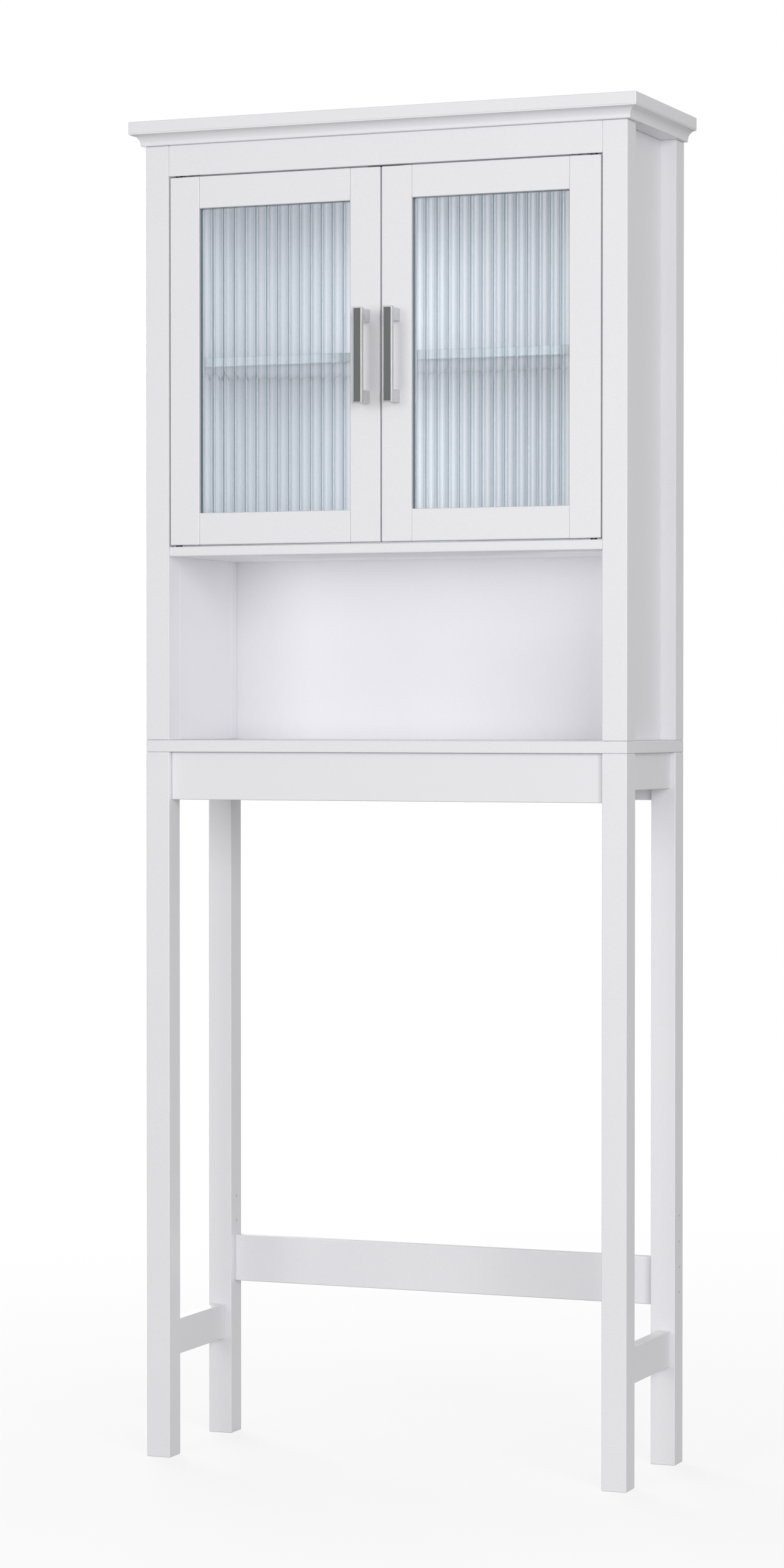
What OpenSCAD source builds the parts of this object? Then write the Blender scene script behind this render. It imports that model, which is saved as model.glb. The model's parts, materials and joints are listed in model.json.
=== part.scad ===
// Over-the-toilet storage rack: an open frame of square legs, an open shelf bay,
// and a two-door cabinet with fluted glass under a coved cornice.
// X runs left to right, Y front to back and Z up. The feet stand on Z = 0.

/* [Frame] */
// Width over the posts
frame_w = 640; // [560:10:760]
// Depth over the posts
frame_d = 220; // [215:1:260]
// Side of the square legs and posts
post = 32; // [31:1:36]
// Length of the lower legs
leg_h = 892; // [780:2:960]
// Length of the upper posts
upper_h = 747; // [747:1:900]
// Thickness of the main boards
board_t = 15; // [15:1:18]
// Thickness of the side panels and inner shelves
thin_t = 12; // [12:1:13]
// Thickness of the back panel
back_t = 5; // [3:1:6]

/* [Rails] */
// Height of the front and rear aprons
apron_h = 60; // [60:1:90]
// Height of the side aprons and side stretchers
side_rail_h = 45; // [45:1:58]
// Height of the side stretchers' lower edge above the floor
stretcher_z = 124; // [60:1:150]
// Height of the rear stretcher
rear_stretcher_h = 60; // [50:1:70]
// Set-back of the rails from the outer faces of the legs
rail_setback = 7; // [4:1:8]

/* [Cabinet] */
// Clear height of the open bay
bay_h = 231; // [180:1:260]
// Height of the header rail above the doors
header_h = 39; // [38:1:50]
// Gap around and between the doors
door_gap = 2; // [1.8:0.1:2.5]
// Width of the door stiles and rails
stile_w = 40; // [40:1:50]
// Height of the adjustable shelf above the cabinet floor
shelf_above_floor = 226; // [200:1:240]
// Pitch of the rows of holes
hole_pitch = 32; // [25:1:32]

/* [Cornice] */
// Overhang of the crown board past the posts
crown_overhang = 16.5; // [16:0.5:20]
// Radius of the cove under the crown board
cove_r = 11; // [8:1:11]

/* [Glass] */
// Pitch of the flutes
flute_pitch = 14.75; // [12:0.25:18]
// Width of the flat land between two flutes
land_w = 1.75; // [1:0.25:3]
// Depth of each flute
flute_depth = 3.2; // [1:0.1:3.5]
// Thickness of the pane behind the flutes
pane_base_t = 2; // [2:0.1:4]

/* [Handles] */
// Spacing of the handle's screws
handle_pitch = 96; // [64:32:128]
// Reach of the handle in front of the door
handle_reach = 28; // [24:1:36]
// Width of the handle's bar
handle_w = 12; // [10:1:14]
// Length of the handle's bar
handle_l = 117.5; // [112:0.5:150]

/* [Hidden] */
$fn = 48;

LEFT = -1;
RIGHT = 1;

// Depths are measured back from the posts' front face, and shifted by this so that
// the whole object is centred on Y = 0
mid_y = (frame_d - handle_reach) / 2;

// Frame
half_w = frame_w / 2;
inner_x = half_w - post;
rear_post_y = frame_d - post;
rail_x = half_w - rail_setback - board_t;
rail_mid_x = rail_x + board_t / 2;
front_rail_mid_y = rail_setback + board_t / 2;
rear_rail_mid_y = frame_d - front_rail_mid_y;
post_x = half_w - post / 2;
post_ys = [post / 2, frame_d - post / 2];

// Heights
shelf_z = leg_h + board_t;
soffit_z = shelf_z + upper_h;
cornice_z = soffit_z + board_t;
crown_z = cornice_z + board_t;
floor_z = shelf_z + bay_h;
cabinet_z = floor_z + thin_t;
header_z = soffit_z - header_h;
adjustable_z = cabinet_z + shelf_above_floor;

// Back panel, in grooves in the rear posts
groove_d = 6;
back_y = frame_d - 12;
back_slack = 0.5;
rear_rail_y = back_y - board_t;
rear_rail_z = header_z - 15;

// Cornice
cove_fillet = 1;
cove_foot_h = board_t - cove_fillet - cove_r;
cove_top_out = crown_overhang - 0.5;
cove_foot_out = cove_top_out - cove_r;

// Rear stretcher, fixed by two of the four holes in each rear leg
rear_stretcher_t = 12;
rear_stretcher_y = 199;
rear_stretcher_z = 199;
stretcher_hole_y = rear_stretcher_y + rear_stretcher_t / 2;
stretcher_hole_z = rear_stretcher_z + (rear_stretcher_h - hole_pitch) / 2;
stretcher_hole_zs = [for (i = [0:3]) stretcher_hole_z + i * hole_pitch];
counterbore_d = 7.5;
counterbore_l = 15;
screw_clear_d = 4.5;
long_screw_d = 4.2;
long_screw_l = 43;
long_head_d = 7;
long_head_l = 3.5;
long_socket_d = 4;
long_socket_l = 2;

// Wooden dowels and studs
dowel_d = 8;
slim_dowel_d = 6;
dowel_in_post = 12;
dowel_in_rail = 20;
slim_in_panel = 18;
slim_in_shelf = 9;
slim_in_post = 8;
dowel_in_cornice = 10;
stud_d = 6;
stud_clear_d = 6.5;
stud_reach = 30;
apron_dowel_zs = [leg_h - apron_h + 10, leg_h - 10];
side_dowel_zs = [
    leg_h - side_rail_h + 10, leg_h - side_rail_h + 25,
    stretcher_z + 12, stretcher_z + side_rail_h - 12
];
panel_x = inner_x + thin_t / 2;
panel_dowel_zs = [shelf_z + 53, shelf_z + 373, soffit_z - 54];
panel_dowel_ys = [80, frame_d - 80];
floor_dowel_ys = [60, frame_d - 60];
header_dowel_z = header_z + 10;
rail_mid_ys = [board_t / 2, rear_rail_y + board_t / 2];

// Cam locks and their bolts
cam_d = 12;
cam_l = 9.5;
cam_reach = 24;
cam_slot_w = 1.6;
cam_slot_l = 8;
cam_slot_d = 3;
cam_bolt_d = 5;
cam_bolt_in_post = 11;
cam_bore_d = 7;
cam_neck_d = 3.6;
cam_head_d = 6.5;
cam_head_l = 3;
cam_bore_back = cam_head_l / 2 + 0.2;
header_cam_z = header_z + 28;
apron_cam_z = leg_h - apron_h / 2;
floor_mid_z = floor_z + thin_t / 2;
floor_cam_ys = [post / 2, rear_post_y + 10];
// Each cam bolt: its depth and height, and the direction its cam faces
CAM_SITES = [
    [front_rail_mid_y, apron_cam_z, "back"],
    [rear_rail_mid_y, apron_cam_z, "front"],
    [rail_mid_ys[0], header_cam_z, "back"],
    [rail_mid_ys[1], header_cam_z, "front"],
    [floor_cam_ys[0], floor_mid_z, "up"],
    [floor_cam_ys[1], floor_mid_z, "up"]
];

// Crown screws
crown_screw_xs = [-250, 0, 250];
crown_screw_ys = [40, frame_d - 40];
crown_screw_d = 4;
crown_screw_l = 24;
crown_head_d = 7.6;
crown_head_l = 2;

// Wall fixing holes through the rear rail and the back panel, just below the header's edge
// so that a screwdriver reaches them from the front
wall_hole_x = 200;
wall_hole_z = header_z - 6.5;
wall_hole_d = 5.5;

// Shelf pins
pin_d = 5;
pin_hole_l = 9;
pin_reach = 8.5;
pin_ys = [60, frame_d - 60];
pin_z = adjustable_z - pin_d / 2;
pin_rows = [-2:2];
shelf_side_gap = 1.5;
shelf_front_y = 21;
shelf_rear_gap = 2;

// Doors
door_t = 15;
door_z = cabinet_z + door_gap;
door_top = header_z - door_gap;
door_outer_x = inner_x - door_gap;
door_inner_x = door_gap / 2;
pane_x0 = door_inner_x + stile_w;
pane_x1 = door_outer_x - stile_w;
pane_z0 = door_z + stile_w;
pane_z1 = door_top - stile_w;
rebate = 7;
rebate_y = 5;
pane_slack = 0.5;
pane_t = pane_base_t + flute_depth;
bead_y = rebate_y + pane_t;
door_dowel_in = 18;
door_dowel_zs = [for (inset = [14, 26]) each [door_z + inset, door_top - inset]];
bead_gap = 0.2;

// Flutes
flute_w = flute_pitch - land_w;
first_flute = 7.95;
pane_w = pane_x1 - pane_x0 + 2 * (rebate - pane_slack);

// Pivot hinges
pivot_x = door_outer_x - 10;
pivot_y = 5;
pivot_pin_d = 4;
pivot_bore_d = 4.1;
pivot_pin_l = 8;
leaf_t = 1.2;
leaf_w = 8;
leaf_front = 6;
leaf_l = 35;
leaf_screw_xs = [pivot_x - 12, pivot_x - 24];
collar_d = 8;
collar_t = door_gap - 0.2;
bush_d = 8;
bush_l = 8;

// Small countersunk screws
small_screw_d = 3;
small_screw_l = 9;
small_head_d = 5.6;
small_head_l = 1.2;
recess_w = 0.8;
recess_l = 0.7;

// Magnetic catch
catch_w = 46;
catch_flange_t = 4;
catch_flange_z = header_z - 1;
catch_flange_h = 20;
catch_body_y = door_t + 1.5;
catch_body_d = 13.5;
catch_body_z = header_z - 17;
catch_body_h = 18;
catch_screw_xs = [-15, 15];
magnet_x = 6;
magnet_w = 12;
magnet_d = 8;
magnet_h = 10;
magnet_z = header_z - 14;
strike_w = 14;
strike_h = 12;
strike_t = 1.2;
strike_x = magnet_x + magnet_w / 2;
strike_z = magnet_z + magnet_h / 2;

// Handles
handle_bar_t = 6.5;
foot_h = 15.4;
foot_w = handle_w - 1;
foot_inset = 1.1;
handle_x = 20;
handle_z = 1380;
handle_screw_d = 4;
handle_screw_l = 25;
handle_head_d = 8;
handle_head_l = 2.2;

// Colours
PAINT = [0.89, 0.88, 0.90];
GLASS = [0.70, 0.80, 0.84, 0.5];
STEEL = [0.62, 0.63, 0.65];
SATIN = [0.75, 0.76, 0.78];
BEECH = [0.80, 0.65, 0.45];
BLACK = [0.15, 0.15, 0.16];

// Helpers: a block between two corners, and rods along each axis
module block(low, high)
    translate([low[0], low[1] - mid_y, low[2]])
        cube([high[0] - low[0], high[1] - low[1], high[2] - low[2]]);

module place(p)
    translate([p[0], p[1] - mid_y, p[2]])
        children();

module rod_x(p, len, d)
    place(p) rotate([0, 90, 0]) cylinder(h = len, d = d);

module rod_y(p, len, d)
    place(p) rotate([-90, 0, 0]) cylinder(h = len, d = d);

module rod_z(p, len, d)
    place(p) cylinder(h = len, d = d);

// Draws children on the right side, or mirrors them to the left
module on_side(side)
    mirror([side < 0 ? 1 : 0, 0, 0]) children();

module both_sides() {
    on_side(LEFT) children();
    on_side(RIGHT) children();
}

// Glued wooden dowels of the frame
module frame_dowel_set()
    both_sides() {
        for (z = apron_dowel_zs, y = [front_rail_mid_y, rear_rail_mid_y])
            rod_x([inner_x - dowel_in_rail, y, z], dowel_in_rail + dowel_in_post, dowel_d);
        for (z = side_dowel_zs) {
            rod_y([rail_mid_x, post - dowel_in_post, z], dowel_in_rail + dowel_in_post, dowel_d);
            rod_y([rail_mid_x, rear_post_y - dowel_in_rail, z],
                dowel_in_rail + dowel_in_post, dowel_d);
        }
        for (z = panel_dowel_zs) {
            rod_y([panel_x, post - dowel_in_post, z], slim_in_panel + dowel_in_post, slim_dowel_d);
            rod_y([panel_x, rear_post_y - slim_in_panel, z],
                slim_in_panel + dowel_in_post, slim_dowel_d);
        }
        for (y = panel_dowel_ys) {
            rod_z([panel_x, y, shelf_z - slim_in_shelf],
                slim_in_shelf + slim_in_panel, slim_dowel_d);
            rod_z([panel_x, y, soffit_z - slim_in_panel],
                slim_in_panel + slim_in_shelf, slim_dowel_d);
        }
        for (y = floor_dowel_ys)
            rod_x([inner_x - slim_in_panel, y, floor_mid_z],
                slim_in_panel + slim_in_post, slim_dowel_d);
        for (y = rail_mid_ys)
            rod_x([inner_x - dowel_in_rail, y, header_dowel_z],
                dowel_in_rail + dowel_in_post, dowel_d);
        for (y = post_ys)
            rod_z([post_x, y, soffit_z - dowel_in_rail],
                dowel_in_rail + dowel_in_cornice, dowel_d);
    }

// Threaded studs that join each leg, the middle shelf and the post above
module stud_set(d)
    both_sides()
        for (y = post_ys)
            rod_z([post_x, y, leg_h - stud_reach], 2 * stud_reach + board_t, d);

// Distance from a bolt's axis to the board face that its cam is flush with
function cam_face(site) = site[2] == "up" ? thin_t / 2 : board_t / 2;

// Turn that points a cam's face up, to the back or to the front
function cam_turn(site) =
    site[2] == "up" ? [0, 0, 0] : site[2] == "back" ? [-90, 0, 0] : [90, 0, 0];

module cam(face)
    difference() {
        translate([0, 0, face - cam_l]) cylinder(h = cam_l, d = cam_d);
        translate([-cam_bore_back, 0, 0]) rotate([0, 90, 0]) cylinder(h = cam_d, d = cam_bore_d);
        for (turn = [0, 90])
            rotate([0, 0, turn])
                translate([-cam_slot_w / 2, -cam_slot_l / 2, face - cam_slot_d])
                    cube([cam_slot_w, cam_slot_l, cam_slot_d + 1]);
    }

module cam_set()
    both_sides()
        for (site = CAM_SITES)
            place([inner_x - cam_reach, site[0], site[1]])
                rotate(cam_turn(site)) cam(cam_face(site));

module cam_cut_set()
    both_sides()
        for (site = CAM_SITES)
            place([inner_x - cam_reach, site[0], site[1]])
                rotate(cam_turn(site)) cam_cut(cam_face(site));

// Pocket for a cam, with the bore that leads its bolt in from the board's end
module cam_cut(face) {
    translate([0, 0, face - cam_l]) cylinder(h = cam_l + 1, d = cam_d);
    translate([-cam_bore_back, 0, 0])
        rotate([0, 90, 0]) cylinder(h = cam_reach + cam_bore_back, d = cam_bore_d);
    rotate([0, 90, 0]) cylinder(h = cam_reach + cam_bolt_in_post, d = cam_bolt_d);
}

module cam_bolt_set()
    both_sides()
        for (site = CAM_SITES) {
            x = inner_x - cam_reach;
            neck_x = x + cam_head_l / 2;
            shank_x = x + cam_d / 2;
            rod_x([x - cam_head_l / 2, site[0], site[1]], cam_head_l, cam_head_d);
            rod_x([neck_x, site[0], site[1]], shank_x - neck_x, cam_neck_d);
            rod_x([shank_x, site[0], site[1]],
                inner_x + cam_bolt_in_post - shank_x, cam_bolt_d);
        }

// Long screws into the ends of the rear stretcher, and their stepped holes
module stretcher_screw_set()
    both_sides()
        for (z = [stretcher_hole_zs[0], stretcher_hole_zs[1]]) {
            seat_x = half_w - counterbore_l;
            rod_x([seat_x - long_screw_l, stretcher_hole_y, z], long_screw_l, long_screw_d);
            difference() {
                rod_x([seat_x, stretcher_hole_y, z], long_head_l, long_head_d);
                place([seat_x + long_head_l - long_socket_l, stretcher_hole_y, z])
                    rotate([0, 90, 0]) cylinder(h = long_head_l, d = long_socket_d, $fn = 6);
            }
        }

module stretcher_hole_set()
    both_sides()
        for (z = stretcher_hole_zs) {
            rod_x([inner_x - 1, stretcher_hole_y, z], post + 1, screw_clear_d);
            rod_x([half_w - counterbore_l, stretcher_hole_y, z], counterbore_l + 1, counterbore_d);
        }

module joinery_cuts() {
    frame_dowel_set();
    cam_cut_set();
}

module shelf_pin_set()
    both_sides()
        for (y = pin_ys)
            rod_x([inner_x - pin_reach, y, pin_z], pin_reach + pin_hole_l, pin_d);

module shelf_pin_hole_set()
    both_sides()
        for (y = pin_ys, row = pin_rows)
            rod_x([inner_x - 1, y, pin_z + row * hole_pitch], 1 + pin_hole_l, pin_d);

// A countersunk screw with its head's face at the origin, pointing down
module countersunk(d, len, head_d, head_l) {
    translate([0, 0, -head_l]) cylinder(h = head_l, d1 = d, d2 = head_d);
    translate([0, 0, -len]) cylinder(h = len - head_l, d = d);
}

module recess_slot(head_d)
    for (turn = [0, 90])
        rotate([0, 0, turn])
            translate([-head_d / 3, -recess_w / 2, -recess_l])
                cube([head_d * 2 / 3, recess_w, 1]);

module small_screw()
    difference() {
        countersunk(small_screw_d, small_screw_l, small_head_d, small_head_l);
        recess_slot(small_head_d);
    }

module small_screw_body()
    countersunk(small_screw_d, small_screw_l, small_head_d, small_head_l);

// Screws of the hinge plates in the header and the floor, and of the catch
module frame_screw_sites() {
    both_sides()
        for (x = leaf_screw_xs) {
            place([x, pivot_y, header_z]) rotate([180, 0, 0]) children();
            place([x, pivot_y, cabinet_z]) children();
        }
    for (x = catch_screw_xs)
        place([x, door_t + catch_flange_t, catch_flange_z + catch_flange_h / 2 + 1])
            rotate([-90, 0, 0]) children();
}

// Screws of the hinge leaves and of the strike plate in a door
module door_screw_sites() {
    for (x = leaf_screw_xs) {
        place([x, pivot_y, door_top]) children();
        place([x, pivot_y, door_z]) rotate([180, 0, 0]) children();
    }
    place([strike_x, door_t + strike_t, strike_z]) rotate([-90, 0, 0]) children();
}

// Legs and posts
module leg(side, rear)
    color(PAINT)
        difference() {
            on_side(side)
                block([inner_x, rear ? rear_post_y : 0, 0],
                    [half_w, rear ? frame_d : post, leg_h]);
            joinery_cuts();
            stud_set(stud_d);
            if (rear) stretcher_hole_set();
        }

module upper_post(side, rear)
    color(PAINT)
        difference() {
            on_side(side)
                block([inner_x, rear ? rear_post_y : 0, shelf_z],
                    [half_w, rear ? frame_d : post, soffit_z]);
            joinery_cuts();
            stud_set(stud_d);
            if (rear)
                on_side(side)
                    block([inner_x - 1, back_y, shelf_z - 1],
                        [inner_x + groove_d, back_y + back_t, soffit_z + 1]);
        }

// Rails of the lower frame
module cross_apron(rear)
    color(PAINT)
        difference() {
            block([-inner_x, rear ? frame_d - rail_setback - board_t : rail_setback,
                    leg_h - apron_h],
                [inner_x, rear ? frame_d - rail_setback : rail_setback + board_t, leg_h]);
            joinery_cuts();
        }

module side_rail(side, low_z)
    color(PAINT)
        difference() {
            on_side(side)
                block([rail_x, post, low_z], [rail_x + board_t, rear_post_y, low_z + side_rail_h]);
            frame_dowel_set();
        }

module rear_stretcher()
    color(PAINT)
        difference() {
            block([-inner_x, rear_stretcher_y, rear_stretcher_z],
                [inner_x, rear_stretcher_y + rear_stretcher_t,
                    rear_stretcher_z + rear_stretcher_h]);
            stretcher_screw_set();
        }

module middle_shelf()
    color(PAINT)
        difference() {
            block([-half_w, 0, leg_h], [half_w, frame_d, shelf_z]);
            stud_set(stud_clear_d);
            frame_dowel_set();
        }

// Cabinet
module side_panel(side)
    color(PAINT)
        difference() {
            on_side(side)
                block([inner_x, post, shelf_z], [inner_x + thin_t, rear_post_y, soffit_z]);
            frame_dowel_set();
            shelf_pin_hole_set();
        }

module wall_holes()
    for (x = [-wall_hole_x, wall_hole_x])
        rod_y([x, rear_rail_y - 1, wall_hole_z], board_t + back_t + 2, wall_hole_d);

module back_panel()
    color(PAINT)
        difference() {
            block([-inner_x - groove_d + back_slack, back_y, shelf_z],
                [inner_x + groove_d - back_slack, back_y + back_t, soffit_z]);
            wall_holes();
        }

module hinge_plate_seats()
    both_sides()
        block([pivot_x - leaf_l + leaf_front, pivot_y - leaf_w / 2, cabinet_z - leaf_t],
            [pivot_x + leaf_front, pivot_y + leaf_w / 2, header_z + leaf_t]);

module cabinet_floor()
    color(PAINT)
        difference() {
            block([-inner_x, 0, floor_z], [inner_x, back_y, cabinet_z]);
            joinery_cuts();
            hinge_plate_seats();
            frame_screw_sites() small_screw_body();
        }

module header_rail()
    color(PAINT)
        difference() {
            block([-inner_x, 0, header_z], [inner_x, board_t, soffit_z]);
            joinery_cuts();
            hinge_plate_seats();
            frame_screw_sites() small_screw_body();
        }

module rear_rail()
    color(PAINT)
        difference() {
            block([-inner_x, rear_rail_y, rear_rail_z], [inner_x, back_y, soffit_z]);
            joinery_cuts();
            wall_holes();
        }

module crown_screw_sites()
    for (x = crown_screw_xs, y = crown_screw_ys)
        place([x, y, soffit_z]) rotate([180, 0, 0]) children();

// Takes away what lies outside the cove along one edge of the cornice
module cove_cut(length)
    translate([-length / 2, 0, 0]) {
        translate([0, cove_foot_out, -1])
            cube([length, cove_r + 2, 1 + cove_foot_h]);
        translate([0, cove_top_out, cove_foot_h])
            rotate([0, 90, 0]) cylinder(h = length, r = cove_r, $fn = 96);
    }

module cornice_board()
    color(PAINT)
        difference() {
            block([-half_w - cove_top_out, -cove_top_out, soffit_z],
                [half_w + cove_top_out, frame_d, cornice_z]);
            place([0, 0, soffit_z]) rotate([0, 0, 180]) cove_cut(2 * frame_w);
            both_sides()
                translate([half_w, 0, soffit_z]) rotate([0, 0, -90]) cove_cut(4 * frame_d);
            frame_dowel_set();
            crown_screw_sites() countersunk(crown_screw_d, crown_screw_l, crown_head_d, crown_head_l);
        }

module crown_board()
    color(PAINT)
        difference() {
            block([-half_w - crown_overhang, -crown_overhang, cornice_z],
                [half_w + crown_overhang, frame_d, crown_z]);
            crown_screw_sites() countersunk(crown_screw_d, crown_screw_l, crown_head_d, crown_head_l);
        }

module crown_screws()
    color(STEEL)
        crown_screw_sites()
            difference() {
                countersunk(crown_screw_d, crown_screw_l, crown_head_d, crown_head_l);
                recess_slot(crown_head_d);
            }

module adjustable_shelf()
    color(PAINT)
        block([-inner_x + shelf_side_gap, shelf_front_y, adjustable_z],
            [inner_x - shelf_side_gap, back_y - shelf_rear_gap, adjustable_z + thin_t]);

// Catch and hinges
module magnet_blocks()
    both_sides()
        block([magnet_x, catch_body_y, magnet_z],
            [magnet_x + magnet_w, catch_body_y + magnet_d, magnet_z + magnet_h]);

module catch_body()
    color(BLACK)
        difference() {
            union() {
                block([-catch_w / 2, door_t, catch_flange_z],
                    [catch_w / 2, door_t + catch_flange_t, catch_flange_z + catch_flange_h]);
                block([-catch_w / 2, catch_body_y, catch_body_z],
                    [catch_w / 2, catch_body_y + catch_body_d, catch_body_z + catch_body_h]);
            }
            magnet_blocks();
            frame_screw_sites() small_screw_body();
        }

module hinge_plates()
    color(STEEL)
        difference() {
            both_sides()
                for (top = [true, false]) {
                    face_z = top ? header_z : cabinet_z - leaf_t;
                    block([pivot_x - leaf_l + leaf_front, pivot_y - leaf_w / 2, face_z],
                        [pivot_x + leaf_front, pivot_y + leaf_w / 2, face_z + leaf_t]);
                    rod_z([pivot_x, pivot_y, top ? header_z - collar_t : cabinet_z],
                        collar_t, collar_d);
                    rod_z([pivot_x, pivot_y, top ? header_z - pivot_pin_l : cabinet_z],
                        pivot_pin_l, pivot_pin_d);
                }
            frame_screw_sites() small_screw_body();
        }

// Doors: every piece is drawn on the right and mirrored to the left
module hinge_leaf_seats(side)
    on_side(side)
        for (z = [door_z, door_top - leaf_t]) {
            block([pivot_x - leaf_l + leaf_front, pivot_y - leaf_w / 2, z],
                [pivot_x + leaf_front, pivot_y + leaf_w / 2, z + leaf_t]);
            rod_z([pivot_x, pivot_y, z == door_z ? door_z : door_top - bush_l], bush_l, bush_d);
        }

module pane_rebate()
    block([pane_x0 - rebate, rebate_y, pane_z0 - rebate],
        [pane_x1 + rebate, door_t + 1, pane_z1 + rebate]);

module door_dowel_set(side)
    on_side(side)
        for (x = [pane_x0, pane_x1], z = door_dowel_zs)
            rod_x([x - door_dowel_in, door_t / 2, z], 2 * door_dowel_in, slim_dowel_d);

module stile(side, outer)
    color(PAINT)
        difference() {
            on_side(side)
                difference() {
                    block([outer ? pane_x1 : door_inner_x, 0, door_z],
                        [outer ? door_outer_x : pane_x0, door_t, door_top]);
                    pane_rebate();
                    door_screw_sites() small_screw_body();
                    handle_screw_set();
                }
            hinge_leaf_seats(side);
            door_dowel_set(side);
        }

module door_rail(side, top)
    color(PAINT)
        difference() {
            on_side(side)
                difference() {
                    block([pane_x0, 0, top ? door_top - stile_w : door_z],
                        [pane_x1, door_t, top ? door_top : door_z + stile_w]);
                    pane_rebate();
                }
            door_dowel_set(side);
        }

// Fluted pane: a flat sheet with a row of elliptical flutes cut into its front face
module pane_outline()
    difference() {
        square([pane_w, pane_t]);
        for (i = [-1:ceil(pane_w / flute_pitch)])
            translate([first_flute + i * flute_pitch + flute_w / 2, 0])
                scale([flute_w / 2, flute_depth]) circle(r = 1, $fn = 96);
    }

module door_glass(side)
    color(GLASS)
        place([side > 0 ? pane_x0 - rebate + pane_slack : -pane_x1 - rebate + pane_slack,
                rebate_y, pane_z0 - rebate + pane_slack])
            linear_extrude(height = pane_z1 - pane_z0 + 2 * (rebate - pane_slack))
                pane_outline();

module door_beads(side)
    color(PAINT)
        on_side(side) {
            for (x = [pane_x0 - rebate, pane_x1])
                block([x, bead_y, pane_z0 - rebate], [x + rebate, door_t, pane_z1 + rebate]);
            for (z = [pane_z0 - rebate, pane_z1])
                block([pane_x0 + bead_gap, bead_y, z],
                    [pane_x1 - bead_gap, door_t, z + rebate]);
        }

module door_handle(side)
    color(SATIN)
        on_side(side)
            difference() {
                bar_x = handle_x - handle_w / 2;
                bar_z = handle_z - handle_l / 2;
                foot_x = handle_x - foot_w / 2;
                union() {
                    block([bar_x, -handle_reach, bar_z],
                        [bar_x + handle_w, -handle_reach + handle_bar_t, bar_z + handle_l]);
                    for (z = [bar_z + foot_inset, bar_z + handle_l - foot_inset - foot_h])
                        block([foot_x, -handle_reach + handle_bar_t, z],
                            [foot_x + foot_w, 0, z + foot_h]);
                }
                handle_screw_set();
            }

module handle_screw_set()
    for (z = [handle_z - handle_pitch / 2, handle_z + handle_pitch / 2])
        rod_y([handle_x, door_t - handle_screw_l, z], handle_screw_l, handle_screw_d);

module handle_screws(side)
    color(STEEL)
        on_side(side) {
            handle_screw_set();
            for (z = [handle_z - handle_pitch / 2, handle_z + handle_pitch / 2])
                difference() {
                    rod_y([handle_x, door_t, z], handle_head_l, handle_head_d);
                    place([handle_x, door_t + handle_head_l, z])
                        rotate([-90, 0, 0]) recess_slot(handle_head_d);
                }
        }

module hinge_leaves(side)
    color(STEEL)
        difference() {
            hinge_leaf_seats(side);
            on_side(side) {
                rod_z([pivot_x, pivot_y, door_z - 1], door_top - door_z + 2, pivot_bore_d);
                door_screw_sites() small_screw_body();
            }
        }

module strike_plate(side)
    color(STEEL)
        on_side(side)
            difference() {
                block([strike_x - strike_w / 2, door_t, strike_z - strike_h / 2],
                    [strike_x + strike_w / 2, door_t + strike_t, strike_z + strike_h / 2]);
                door_screw_sites() small_screw_body();
            }

leg(LEFT, false);  // front_left_leg
leg(RIGHT, false);  // front_right_leg
leg(LEFT, true);  // rear_left_leg
leg(RIGHT, true);  // rear_right_leg
cross_apron(false);  // front_apron
cross_apron(true);  // rear_apron
side_rail(LEFT, leg_h - side_rail_h);  // left_apron
side_rail(RIGHT, leg_h - side_rail_h);  // right_apron
side_rail(LEFT, stretcher_z);  // left_stretcher
side_rail(RIGHT, stretcher_z);  // right_stretcher
rear_stretcher();
color(STEEL) stretcher_screw_set();  // rear_stretcher_screws
middle_shelf();
color(STEEL) stud_set(stud_d);  // post_studs
color(BEECH) frame_dowel_set();  // frame_dowels
color(STEEL) cam_set();  // cam_locks
color(STEEL) cam_bolt_set();  // cam_bolts
upper_post(LEFT, false);  // front_left_post
upper_post(RIGHT, false);  // front_right_post
upper_post(LEFT, true);  // rear_left_post
upper_post(RIGHT, true);  // rear_right_post
side_panel(LEFT);  // left_side_panel
side_panel(RIGHT);  // right_side_panel
back_panel();
cabinet_floor();
header_rail();
rear_rail();
cornice_board();
crown_board();
crown_screws();
adjustable_shelf();
color(STEEL) shelf_pin_set();  // shelf_pins
catch_body();
color(STEEL) magnet_blocks();  // catch_magnets
hinge_plates();
color(STEEL) frame_screw_sites() small_screw();  // hardware_screws
stile(LEFT, true);  // left_door_outer_stile
stile(LEFT, false);  // left_door_inner_stile
door_rail(LEFT, true);  // left_door_top_rail
door_rail(LEFT, false);  // left_door_bottom_rail
color(BEECH) door_dowel_set(LEFT);  // left_door_dowels
door_glass(LEFT);  // left_door_glass
door_beads(LEFT);  // left_door_beads
door_handle(LEFT);  // left_door_handle
handle_screws(LEFT);  // left_handle_screws
hinge_leaves(LEFT);  // left_hinge_leaves
strike_plate(LEFT);  // left_strike_plate
color(STEEL) on_side(LEFT) door_screw_sites() small_screw();  // left_door_screws
stile(RIGHT, true);  // right_door_outer_stile
stile(RIGHT, false);  // right_door_inner_stile
door_rail(RIGHT, true);  // right_door_top_rail
door_rail(RIGHT, false);  // right_door_bottom_rail
color(BEECH) door_dowel_set(RIGHT);  // right_door_dowels
door_glass(RIGHT);  // right_door_glass
door_beads(RIGHT);  // right_door_beads
door_handle(RIGHT);  // right_door_handle
handle_screws(RIGHT);  // right_handle_screws
hinge_leaves(RIGHT);  // right_hinge_leaves
strike_plate(RIGHT);  // right_strike_plate
color(STEEL) on_side(RIGHT) door_screw_sites() small_screw();  // right_door_screws
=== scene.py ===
"""Looks of the over-the-toilet rack: rounded, painted boards, fluted panes and metal handles
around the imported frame, with a pale floor, soft light and a camera."""

import json
import math

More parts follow.
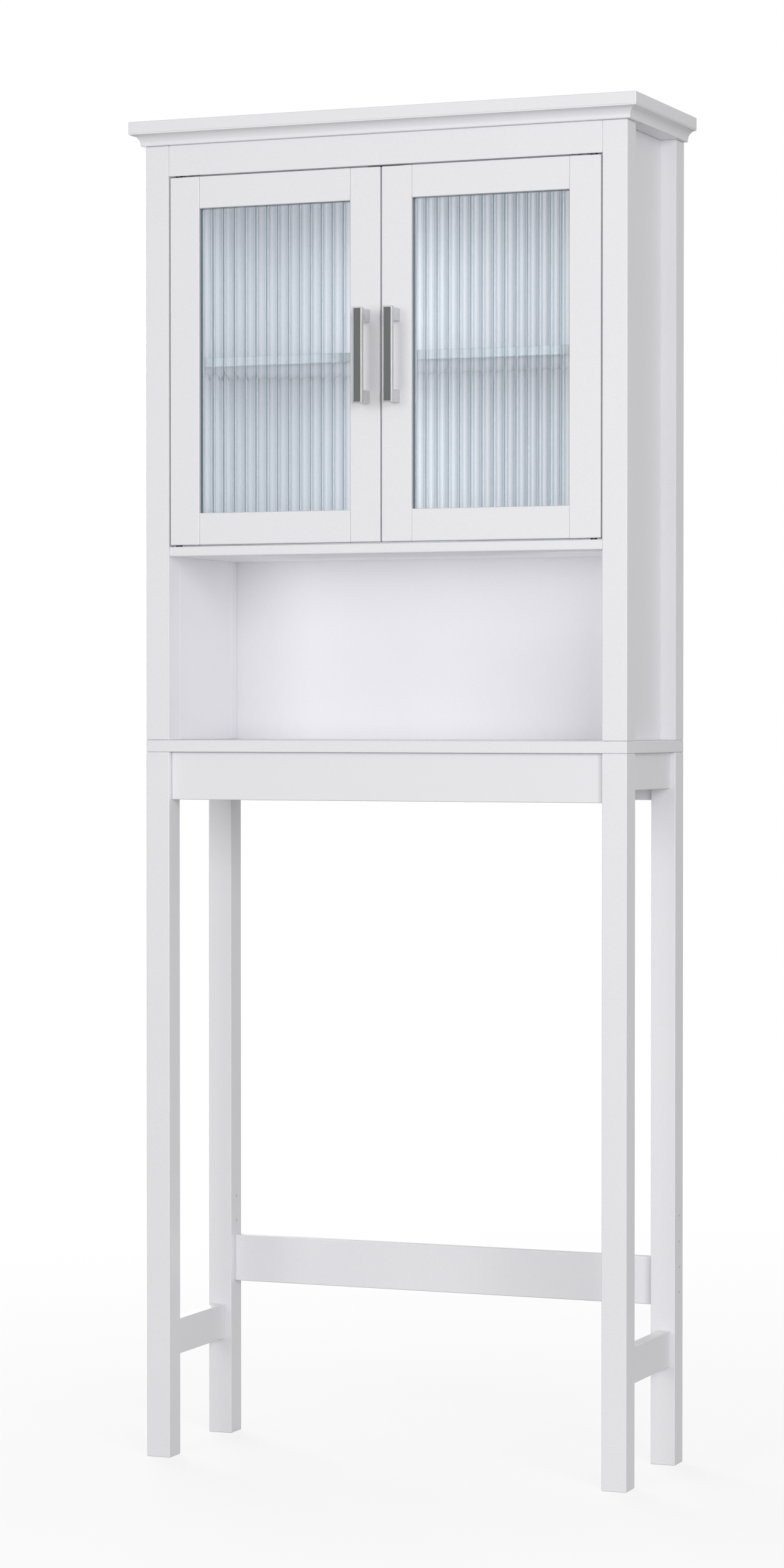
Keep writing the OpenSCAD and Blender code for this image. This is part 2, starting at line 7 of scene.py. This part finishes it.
import bmesh
import bpy
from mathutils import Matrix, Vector

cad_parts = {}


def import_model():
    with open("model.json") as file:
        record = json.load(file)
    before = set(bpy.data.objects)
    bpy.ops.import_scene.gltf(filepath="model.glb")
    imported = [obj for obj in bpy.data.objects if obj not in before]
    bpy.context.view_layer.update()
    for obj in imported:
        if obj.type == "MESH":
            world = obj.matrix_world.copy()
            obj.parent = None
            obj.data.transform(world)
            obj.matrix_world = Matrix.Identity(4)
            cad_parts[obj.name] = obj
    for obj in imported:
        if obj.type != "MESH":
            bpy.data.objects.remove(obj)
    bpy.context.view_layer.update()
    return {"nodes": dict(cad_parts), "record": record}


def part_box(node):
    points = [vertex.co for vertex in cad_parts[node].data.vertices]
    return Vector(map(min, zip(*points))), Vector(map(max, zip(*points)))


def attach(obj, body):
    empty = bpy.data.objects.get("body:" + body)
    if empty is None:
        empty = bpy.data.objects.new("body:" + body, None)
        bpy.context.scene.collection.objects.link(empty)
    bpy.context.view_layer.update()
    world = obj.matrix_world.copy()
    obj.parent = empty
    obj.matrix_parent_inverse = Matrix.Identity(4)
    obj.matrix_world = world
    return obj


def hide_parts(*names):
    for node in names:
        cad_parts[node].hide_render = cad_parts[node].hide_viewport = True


MM = 0.001
WHITE = (1, 1, 1, 1)

# Camera: place in metres, turn about the vertical and downward tilt in degrees, lens in mm
CAMERA_AT = (1.871888, -4.662553, 0.936614)
CAMERA_YAW = 22.1276
CAMERA_DOWN = 0.9654
CAMERA_LENS = 91.92
CAMERA_SEES_TO = 100

# Cleaning of the CAD meshes: vertices closer than this are one, and faces closer than this
# in angle are one flat face. The meshes also bring their own normals under this name.
WELD = 0.002 * MM
FLAT = math.radians(0.5)
CAD_NORMALS = "custom_normal"

# Rounded edges of the boards. Only edges above this angle and length are rounded.
EDGE_R = 1.2 * MM
THIN_EDGE_R = 0.35 * MM
EDGE_ROUNDS = 4
CORNER = math.radians(50)
SHORTEST_EDGE = 9 * MM
THIN_BOARDS = {"back_panel", "left_door_beads", "right_door_beads"}

# Edges that are sharper than this stay crisp
SMOOTH = math.radians(32)
GLASS_SMOOTH = math.radians(30)

# How strongly, of 1 to 100, the largest face at a corner sets the shading there
LARGEST_FACE_ONLY = 100

# Handles: edges, chamfer round the front, and the groove that sets the dark face back
HANDLE_EDGE_R = 0.5 * MM
HANDLE_CHAMFER = 1.0 * MM
HANDLE_GROOVE = 0.3 * MM
GROOVE_WALL = 0.02 * MM
AT_FRONT = 0.01 * MM
FACES_FRONT = -0.999

# Fluted panes, as in the CAD model, with the steeper sides of pressed glass
FLUTE_PITCH = 14.75 * MM
FLUTE_W = 13.0 * MM
FLUTE_DEPTH = 3.2 * MM
FIRST_FLUTE = 7.95 * MM
FLUTE_STEPS = 48
FLUTE_HOLLOW = 0.48
FLUTE_WALL_POWER = 10

# Floor: half its side, how brightly it lights the object, and how its own colour gives way
# to white with the distance from the object's centre
FLOOR_HALF = 30
FLOOR_GREY = (0.92, 0.92, 0.92, 1)
FLOOR_ROUGH = 0.9
FLOOR_SHINE = 0.1
FLOOR_GLOW = 0.3
FLOOR_FADE_PER_M = 0.4
FLOOR_WHITE_NEAR = 0.72
FLOOR_WHITE_FAR = 1.0

# Strength of the sky, except where the camera sees it directly
SKY = 0.49

# Studio lights: place and power in watts. All are squares that face the object's middle.
STUDIO_SIDE = 2.6
STUDIO_AIM = (0, 0, 1.0)
STUDIO_LIGHTS = {
    "key": ((3.2, -3.8, 1.7), 106),
    "fill": ((-1.3, -4.8, 1.7), 49),
    "back": ((-3.3, 3.6, 1.9), 128),
}

# Weak lights inside the cabinet and the open bay: place, aim, width and height, watts
INNER_LIGHTS = {
    "low_back": ((0, -0.05, 1.275), (0, 0.2, 1.275), (0.54, 0.18), 0.11),
    "low_up": ((0, 0.02, 1.19), (0, 0.021, 1.4), (0.54, 0.16), 0.05),
    "high_back": ((0, -0.05, 1.495), (0, 0.2, 1.495), (0.54, 0.18), 0.15),
    "high_up": ((0, 0.02, 1.40), (0, 0.021, 1.6), (0.54, 0.16), 0.04),
    "bay_right": ((0.22, -0.06, 1.04), (0.265, 0.12, 1.04), (0.06, 0.12), 0.04),
    "bay_left": ((-0.17, -0.05, 1.04), (-0.29, -0.01, 1.04), (0.08, 0.2), 0.014),
    "bay_top": ((0.0, 0.05, 1.10), (0.0, 0.115, 1.125), (0.5, 0.03), 0.03),
}

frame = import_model()
nodes = frame["nodes"]
slot_of = {s["node"]: s["material_slot"] for s in frame["record"]["subparts"]}
body_of = {n: b for b, names in frame["record"]["behaviour"]["bodies"].items() for n in names}


# ---------------------------------------------------------------- materials


class Shader:
    """A material with a Principled shader, and short calls for the nodes that feed it."""

    def __init__(self, name, **values):
        self.material = bpy.data.materials.new(name)
        self.material.use_nodes = True
        self.tree = self.material.node_tree
        self.surface = self.tree.nodes["Principled BSDF"]
        for socket, value in values.items():
            self.surface.inputs[socket.replace("_", " ")].default_value = value
        self.place = self.add("ShaderNodeTexCoord").outputs["Object"]

    def add(self, kind, inputs=None, **settings):
        node = self.tree.nodes.new(kind)
        for key, value in settings.items():
            setattr(node, key, value)
        for key, value in (inputs or {}).items():
            if isinstance(value, bpy.types.NodeSocket):
                self.link(value, node.inputs[key])
            else:
                node.inputs[key].default_value = value
        return node

    def link(self, source, target):
        self.tree.links.new(source, target)

    def noise(self, scale, detail, stretch=(1, 1, 1)):
        at = self.add("ShaderNodeMapping", {"Vector": self.place, "Scale": stretch})
        return self.add("ShaderNodeTexNoise",
                        {"Vector": at.outputs[0], "Scale": scale, "Detail": detail}).outputs["Fac"]

    def ramp(self, fac, low, high, start=0.3, end=0.7):
        """Colours or grey values between low and high, as fac goes from start to end."""
        node = self.add("ShaderNodeValToRGB", {"Fac": fac})
        for stop, at, value in zip(node.color_ramp.elements, (start, end), (low, high)):
            stop.position = at
            stop.color = (*value, 1) if isinstance(value, tuple) else (value,) * 3 + (1,)
        return node.outputs["Color"]

    def bump(self, height, distance, strength, normal=None):
        node = self.add("ShaderNodeBump",
                        {"Height": height, "Distance": distance, "Strength": strength})
        if normal is not None:
            self.link(normal, node.inputs["Normal"])
        return node.outputs["Normal"]

    def feed(self, **sockets):
        for socket, source in sockets.items():
            self.link(source, self.surface.inputs[socket.replace("_", " ")])
        return self.material


def painted_board():
    """Satin white lacquer on fibreboard: faint clouding, fine orange peel, dust-fine grain."""
    s = Shader("painted_board", IOR=1.47, Coat_Weight=0.12, Coat_Roughness=0.22)
    cloud = s.noise(5.0, 3.0)
    grain = s.noise(900.0, 2.0)
    colour = s.ramp(cloud, (0.855, 0.848, 0.880), (0.875, 0.869, 0.898))
    speck = s.ramp(grain, 0.965, 1.0, 0.35, 0.6)
    mixed = s.add("ShaderNodeMix", {"Factor": 1.0, "A": colour, "B": speck},
                  data_type="RGBA", blend_type="MULTIPLY")
    peel = s.bump(s.noise(260.0, 1.0), 0.05 * MM, 0.5)
    return s.feed(Base_Color=mixed.outputs["Result"], Roughness=s.ramp(cloud, 0.40, 0.48),
                  Normal=s.bump(grain, 0.02 * MM, 0.4, peel))


def fluted_glass():
    """Clear glass that lets lamps through and turns teal along the way light goes inside it."""
    s = Shader("fluted_glass", Base_Color=WHITE, Transmission_Weight=1.0,
               Roughness=0.0, IOR=1.5, Specular_IOR_Level=0.2)
    clear = s.add("ShaderNodeBsdfTransparent", {"Color": WHITE})
    path = s.add("ShaderNodeLightPath")
    mix = s.add("ShaderNodeMixShader", {0: path.outputs["Is Shadow Ray"]})
    s.link(s.surface.outputs[0], mix.inputs[1])
    s.link(clear.outputs[0], mix.inputs[2])
    body = s.add("ShaderNodeVolumeAbsorption", {"Color": (0.05, 0.27, 0.36, 1), "Density": 100.0})
    output = s.tree.nodes["Material Output"]
    s.link(mix.outputs[0], output.inputs["Surface"])
    s.link(body.outputs[0], output.inputs["Volume"])
    return s.material


def brushed(name, colour, dark, rough):
    """Metal with fine upright lines."""
    s = Shader(name, Metallic=1.0)
    streak = s.noise(900.0, 3.0, (1, 1, 0.02))
    return s.feed(Base_Color=s.ramp(streak, dark, colour), Roughness=s.ramp(streak, *rough),
                  Normal=s.bump(streak, 0.01 * MM, 0.5))


def plated_steel(name, dull, bright):
    """Plated steel: a fine spangle with soft patches of duller metal."""
    s = Shader(name, Metallic=1.0)
    cells = s.add("ShaderNodeTexVoronoi", {"Vector": s.place, "Scale": 500.0}).outputs["Color"]
    patch = s.noise(160.0, 3.0)
    return s.feed(Base_Color=s.ramp(cells, dull, bright, 0.1, 0.9),
                  Roughness=s.ramp(patch, 0.28, 0.42), Normal=s.bump(patch, 0.02 * MM, 0.4))


def beech():
    """Bare beech: fine grain and short darker flecks along the dowel."""
    s = Shader("beech", Roughness=0.6)
    grain = s.noise(500.0, 4.0, (0.08, 1, 1))
    flecks = s.noise(1200.0, 2.0, (0.15, 1, 1))
    colour = s.ramp(grain, (0.47, 0.27, 0.13), (0.66, 0.44, 0.25))
    mixed = s.add("ShaderNodeMix", {"Factor": 1.0, "A": colour,
                                    "B": s.ramp(flecks, 0.8, 1.0, 0.3, 0.45)},
                  data_type="RGBA", blend_type="MULTIPLY")
    return s.feed(Base_Color=mixed.outputs["Result"], Normal=s.bump(grain, 0.05 * MM, 0.5))


def dark_plastic():
    s = Shader("dark_plastic", IOR=1.5)
    spark = s.noise(1500.0, 1.0)
    return s.feed(Base_Color=s.ramp(spark, (0.018, 0.018, 0.02), (0.03, 0.03, 0.032)),
                  Roughness=s.ramp(spark, 0.42, 0.55), Normal=s.bump(spark, 0.03 * MM, 0.5))


def magnet():
    s = Shader("magnet", Metallic=0.8)
    grit = s.noise(1100.0, 3.0)
    return s.feed(Base_Color=s.ramp(grit, (0.10, 0.10, 0.11), (0.20, 0.20, 0.21)),
                  Roughness=s.ramp(grit, 0.4, 0.6), Normal=s.bump(grit, 0.03 * MM, 0.5))


MATERIALS = {
    "painted_board": painted_board(),
    "fluted_glass": fluted_glass(),
    "satin_metal": brushed("satin_metal", (0.80, 0.80, 0.805), (0.70, 0.70, 0.71),
                           (0.26, 0.38)),
    "zinc_steel": plated_steel("zinc_steel", (0.56, 0.58, 0.61), (0.72, 0.73, 0.74)),
    "beech": beech(),
    "dark_plastic": dark_plastic(),
    "magnet": magnet(),
}
# Painted shade: the hinges get near-black plated steel instead of their slot's metal, so they read
# as the shade in the gaps beside the doors
HINGE_PAINTED_SHADE = plated_steel("hinge_painted_shade", (0.035, 0.035, 0.037), (0.06, 0.06, 0.062))
HINGES = {"hinge_plates", "left_hinge_leaves", "right_hinge_leaves"}
HANDLE_FACE = brushed("handle_face", (0.127, 0.130, 0.131), (0.099, 0.101, 0.102),
                      (0.36, 0.46))


# ---------------------------------------------------------------- pieces


def take_over(node, bm, *materials):
    """A new piece that stands for a CAD node, rides on its body and takes its slot."""
    mesh = bpy.data.meshes.new(node + "_shape")
    bm.to_mesh(mesh)
    bm.free()
    if CAD_NORMALS in mesh.attributes:
        mesh.attributes.remove(mesh.attributes[CAD_NORMALS])
    piece = bpy.data.objects.new(node + "_piece", mesh)
    bpy.context.scene.collection.objects.link(piece)
    for material in materials:
        mesh.materials.append(material)
    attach(piece, body_of[node])
    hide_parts(node)
    return piece


def merge_flats(bm):
    """Neighbouring faces in one plane become a single face."""
    bmesh.ops.dissolve_limit(bm, angle_limit=FLAT, verts=bm.verts, edges=bm.edges)


def solid_of(node):
    """The CAD node's shape as flat faces without the triangles that split them."""
    bm = bmesh.new()
    bm.from_mesh(nodes[node].data)
    bmesh.ops.remove_doubles(bm, verts=bm.verts, dist=WELD)
    merge_flats(bm)
    return bm


def outer_corners(bm):
    """Long straight edges where two faces meet at an outward corner."""
    return [e for e in bm.edges
            if len(e.link_faces) == 2 and e.calc_length() > SHORTEST_EDGE
            and e.is_convex and e.calc_face_angle() > CORNER]


def bevel(bm, edges, offset, segments):
    bmesh.ops.bevel(bm, geom=edges, offset=offset, offset_type="OFFSET", segments=segments,
                    profile=0.5, affect="EDGES", clamp_overlap=False)


def shade(bm, angle=SMOOTH):
    """Smooth faces that stay crisp along the edges sharper than the angle."""
    bm.normal_update()
    for face in bm.faces:
        face.smooth = True
    for edge in bm.edges:
        edge.smooth = edge.is_manifold and edge.calc_face_angle() < angle


def rounded(node, radius):
    """A painted board with its long outer edges rounded.

    Faces with holes are cut into triangles first, because rounding can fold them over.
    """
    bm = solid_of(node)
    bmesh.ops.triangulate(bm, faces=bm.faces)
    bevel(bm, outer_corners(bm), radius, EDGE_ROUNDS)
    merge_flats(bm)
    shade(bm)
    piece = take_over(node, bm, MATERIALS["painted_board"])
    weighted = piece.modifiers.new("flat_faces", "WEIGHTED_NORMAL")
    weighted.weight = LARGEST_FACE_ONLY
    weighted.thresh = 0
    weighted.keep_sharp = True


def boards():
    for node, slot in slot_of.items():
        if slot == "painted_board":
            rounded(node, THIN_EDGE_R if node in THIN_BOARDS else EDGE_R)


def handle(node):
    """A bright bar with a chamfered front, whose flat face is darker and set in a fine groove."""
    bm = solid_of(node)
    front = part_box(node)[0].y
    at_front = {v for v in bm.verts if v.co.y < front + AT_FRONT}
    rim = [e for e in bm.edges if all(v in at_front for v in e.verts)]
    rest = [e for e in outer_corners(bm) if e not in rim]
    bevel(bm, rest, HANDLE_EDGE_R, EDGE_ROUNDS)
    rim = [e for e in bm.edges if e.is_convex and len(e.link_faces) == 2
           and all(v.co.y < front + AT_FRONT for v in e.verts)]
    bevel(bm, rim, HANDLE_CHAMFER, 1)
    bm.normal_update()
    face = max((f for f in bm.faces if f.normal.y < FACES_FRONT), key=lambda f: f.calc_area())
    bmesh.ops.inset_region(bm, faces=[face], thickness=HANDLE_GROOVE, depth=0)
    walls = bmesh.ops.inset_region(bm, faces=[face], thickness=GROOVE_WALL, depth=-HANDLE_GROOVE)
    for dark in [face] + walls["faces"]:
        dark.material_index = 1
    shade(bm)
    take_over(node, bm, MATERIALS["satin_metal"], HANDLE_FACE)


def fluted_front(width):
    """Points along the front of a pane: flat lands, and flutes whose sides steepen to them."""
    points = []
    start = FIRST_FLUTE - FLUTE_PITCH
    while start < width:
        for i in range(FLUTE_STEPS + 1):
            across = -math.cos(math.pi * i / FLUTE_STEPS)
            x = start + FLUTE_W / 2 * (1 + across)
            rise = (FLUTE_HOLLOW * across ** 2
                    + (1 - FLUTE_HOLLOW) * across ** FLUTE_WALL_POWER)
            if 0 <= x <= width:
                points.append((x, FLUTE_DEPTH * (1 - rise)))
        start += FLUTE_PITCH
    return [(0.0, points[0][1])] + points + [(width, points[-1][1])]


def pane(node):
    low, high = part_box(node)
    bm = bmesh.new()
    outline = [(low.x + x, low.y + y) for x, y in fluted_front(high.x - low.x)]
    outline += [(high.x, high.y), (low.x, high.y)]
    rings = [[bm.verts.new((x, y, z)) for x, y in outline] for z in (low.z, high.z)]
    count = len(outline)
    for i in range(count):
        j = (i + 1) % count
        bm.faces.new((rings[0][i], rings[0][j], rings[1][j], rings[1][i]))
    bm.faces.new(list(reversed(rings[0])))
    bm.faces.new(rings[1])
    bmesh.ops.recalc_face_normals(bm, faces=bm.faces)
    shade(bm, GLASS_SMOOTH)
    take_over(node, bm, MATERIALS["fluted_glass"])


def hardware():
    """The small CAD parts keep their shape and get their material; the hinges get a near-black
    painted shade instead, so they sink into the dark door gaps.
    """
    for node, slot in slot_of.items():
        if not nodes[node].hide_render:
            materials = nodes[node].data.materials
            materials.clear()
            materials.append(HINGE_PAINTED_SHADE if node in HINGES else MATERIALS[slot])


boards()
for side in ("left", "right"):
    handle(side + "_door_handle")
    pane(side + "_door_glass")
hardware()


# ---------------------------------------------------------------- stage


def camera():
    data = bpy.data.cameras.new("camera")
    data.lens = CAMERA_LENS
    data.clip_end = CAMERA_SEES_TO
    obj = bpy.data.objects.new("camera", data)
    obj.location = CAMERA_AT
    obj.rotation_euler = (math.radians(90 - CAMERA_DOWN), 0, math.radians(CAMERA_YAW))
    bpy.context.scene.collection.objects.link(obj)
    bpy.context.scene.camera = obj


def floor():
    mesh = bpy.data.meshes.new("floor")
    corners = [(-1, -1), (1, -1), (1, 1), (-1, 1)]
    mesh.from_pydata([(x * FLOOR_HALF, y * FLOOR_HALF, 0) for x, y in corners],
                     [], [(0, 1, 2, 3)])
    obj = bpy.data.objects.new("floor", mesh)
    bpy.context.scene.collection.objects.link(obj)
    s = Shader("floor", Base_Color=FLOOR_GREY, Roughness=FLOOR_ROUGH,
               Specular_IOR_Level=FLOOR_SHINE)
    seen = s.add("ShaderNodeLightPath").outputs["Is Camera Ray"]
    strength = s.add("ShaderNodeMath", {0: seen, 1: FLOOR_GLOW}, operation="MAXIMUM")
    glow = s.add("ShaderNodeEmission", {"Color": WHITE, "Strength": strength.outputs[0]})
    length = s.add("ShaderNodeVectorMath", {0: s.place}, operation="LENGTH")
    scaled = s.add("ShaderNodeMath", {0: length.outputs["Value"], 1: FLOOR_FADE_PER_M},
                   operation="MULTIPLY")
    fade = s.ramp(scaled.outputs[0], FLOOR_WHITE_NEAR, FLOOR_WHITE_FAR, 0.0, 1.0)
    mix = s.add("ShaderNodeMixShader", {0: fade})
    s.link(s.surface.outputs[0], mix.inputs[1])
    s.link(glow.outputs[0], mix.inputs[2])
    s.link(mix.outputs[0], s.tree.nodes["Material Output"].inputs["Surface"])
    mesh.materials.append(s.material)


def area_light(name, at, aim, size, watts):
    data = bpy.data.lights.new(name, "AREA")
    data.shape = "RECTANGLE"
    data.size, data.size_y = size
    data.energy = watts
    obj = bpy.data.objects.new(name, data)
    obj.location = at
    obj.rotation_euler = (Vector(aim) - Vector(at)).to_track_quat("-Z", "Y").to_euler()
    bpy.context.scene.collection.objects.link(obj)
    return obj


def inner_light(name, at, aim, size, watts):
    """A weak light inside the rack that only shows on what it lights."""
    obj = area_light(name, at, aim, size, watts)
    obj.visible_camera = obj.visible_glossy = obj.visible_transmission = False


def world():
    bg = bpy.data.worlds.new("studio")
    bg.use_nodes = True
    tree = bg.node_tree
    sky = tree.nodes["Background"]
    sky.inputs["Color"].default_value = WHITE
    sky.inputs["Strength"].default_value = SKY
    white = tree.nodes.new("ShaderNodeBackground")
    white.inputs["Color"].default_value = WHITE
    path = tree.nodes.new("ShaderNodeLightPath")
    mix = tree.nodes.new("ShaderNodeMixShader")
    tree.links.new(path.outputs["Is Camera Ray"], mix.inputs[0])
    tree.links.new(sky.outputs[0], mix.inputs[1])
    tree.links.new(white.outputs[0], mix.inputs[2])
    tree.links.new(mix.outputs[0], tree.nodes["World Output"].inputs["Surface"])
    bpy.context.scene.world = bg


camera()
floor()
world()
for name, (at, watts) in STUDIO_LIGHTS.items():
    area_light(name, at, STUDIO_AIM, (STUDIO_SIDE, STUDIO_SIDE), watts)
for name, settings in INNER_LIGHTS.items():
    inner_light(name, *settings)

view = bpy.context.scene.view_settings
view.view_transform = "Standard"
view.look = "None"
